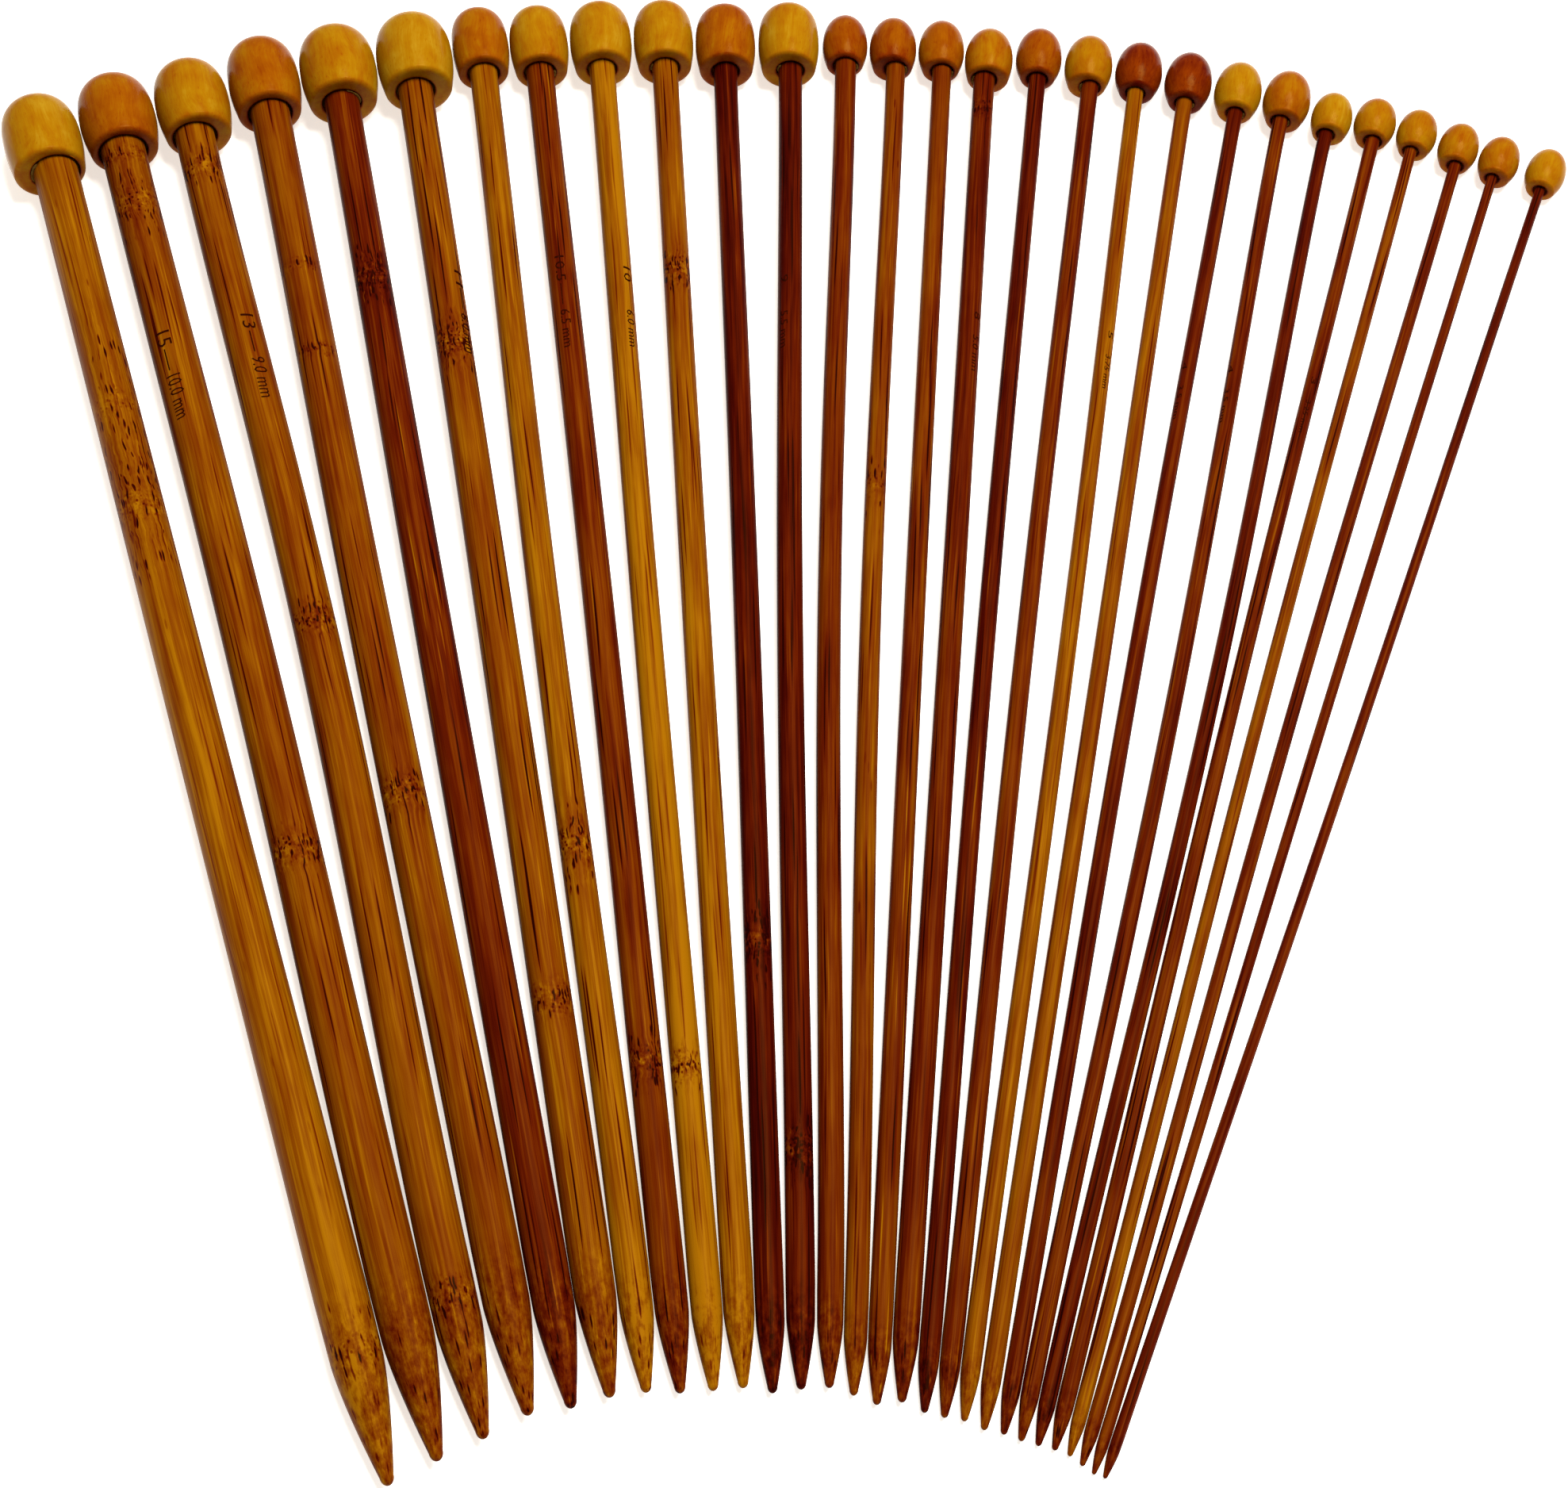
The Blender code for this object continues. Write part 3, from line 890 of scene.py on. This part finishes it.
class NEEDLES_OT_set_stage(bpy.types.Operator):
    """Set the table, the soft lights and the camera"""

    bl_idname = "needles.set_stage"
    bl_label = "Set Stage"

    def execute(self, context):
        scene, stage = context.scene, context.scene.needle_stage
        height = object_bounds()[0].z - TABLE_DROP
        mesh = bpy.data.meshes.new("table_top")
        signs = ((-1, -1), (1, -1), (1, 1), (-1, 1))
        corners = [(x * TABLE_REACH, y * TABLE_REACH, height) for x, y in signs]
        mesh.from_pydata(corners, [], [(0, 1, 2, 3)])
        glow = dict(Emission_Color=TABLE_GLOW, Emission_Strength=stage.glow)
        dull = dict(Roughness=0.9, Specular_IOR_Level=0.1)
        finish = Finish("table_paper", Base_Color=(*stage.paper, 1.0), **dull, **glow)
        finished("table_top", mesh, finish.material)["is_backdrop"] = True

        self.light("key_light", KEY_SPOT, KEY_SIZE, stage.key, KEY_COLOUR)
        world = bpy.data.worlds.new("room")
        world.use_nodes = True
        background = world.node_tree.nodes["Background"].inputs
        background["Color"].default_value = ROOM_COLOUR
        background["Strength"].default_value = stage.fill
        scene.world = world
        scene.view_settings.view_transform = "Standard"

        first = Needle(SHAFTS[0][0])
        aim = Vector((first.tip[0] + AIM[0], first.tip[1] + AIM[1], 0.0)) * MM
        back = Vector((0.0, -math.cos(stage.elevation), math.sin(stage.elevation)))
        right, up = Vector((1.0, 0.0, 0.0)), back.cross(Vector((1.0, 0.0, 0.0)))
        turned_right = right * math.cos(stage.roll) + up * math.sin(stage.roll)
        turned_up = up * math.cos(stage.roll) - right * math.sin(stage.roll)
        lens = bpy.data.cameras.new("camera")
        lens.sensor_fit, lens.sensor_width, lens.lens = "HORIZONTAL", SENSOR, stage.lens
        lens.clip_start, lens.clip_end = 0.01, 20.0
        camera = bpy.data.objects.new("camera", lens)
        spot = aim + back * stage.distance
        rows = [(turned_right[i], turned_up[i], back[i], spot[i]) for i in range(3)]
        camera.matrix_world = Matrix([*rows, (0.0, 0.0, 0.0, 1.0)])
        scene.collection.objects.link(camera)
        scene.camera = camera
        return {"FINISHED"}

    @staticmethod
    def light(name, spot, size, power, colour):
        lamp = bpy.data.lights.new(name, "AREA")
        lamp.shape, lamp.size, lamp.size_y, lamp.energy, lamp.color = "RECTANGLE", *size, power, colour
        holder = bpy.data.objects.new(name, lamp)
        holder.location = spot
        holder.rotation_mode = "QUATERNION"
        holder.rotation_quaternion = Vector(spot).to_track_quat("Z", "Y")
        bpy.context.scene.collection.objects.link(holder)


OPERATORS = (
    NEEDLES_OT_turn_shafts,
    NEEDLES_OT_turn_knobs,
    NEEDLES_OT_squeeze_glue,
    NEEDLES_OT_stamp_sizes,
    NEEDLES_OT_set_stage,
)


class NEEDLES_PT_set(bpy.types.Panel):
    """The steps and their settings"""

    bl_label = "Needles"
    bl_space_type = "VIEW_3D"
    bl_region_type = "UI"
    bl_category = "Needles"

    def draw(self, context):
        for operator in OPERATORS:
            self.layout.operator(operator.bl_idname)
        for name, group in GROUPS.items():
            box = self.layout.box()
            for key in group.__annotations__:
                box.prop(getattr(context.scene, name), key)


CLASSES = (*GROUPS.values(), *OPERATORS, NEEDLES_PT_set)


def register():
    for item in CLASSES:
        bpy.utils.register_class(item)
    for name, group in GROUPS.items():
        setattr(bpy.types.Scene, name, PointerProperty(type=group))


def unregister():
    for name in GROUPS:
        delattr(bpy.types.Scene, name)
    for item in reversed(CLASSES):
        bpy.utils.unregister_class(item)


def main():
    register()
    bpy.ops.needles.turn_shafts()
    bpy.ops.needles.turn_knobs()
    bpy.ops.needles.squeeze_glue()
    bpy.ops.needles.stamp_sizes()
    bpy.ops.needles.set_stage()


if __name__ == "__main__":
    main()
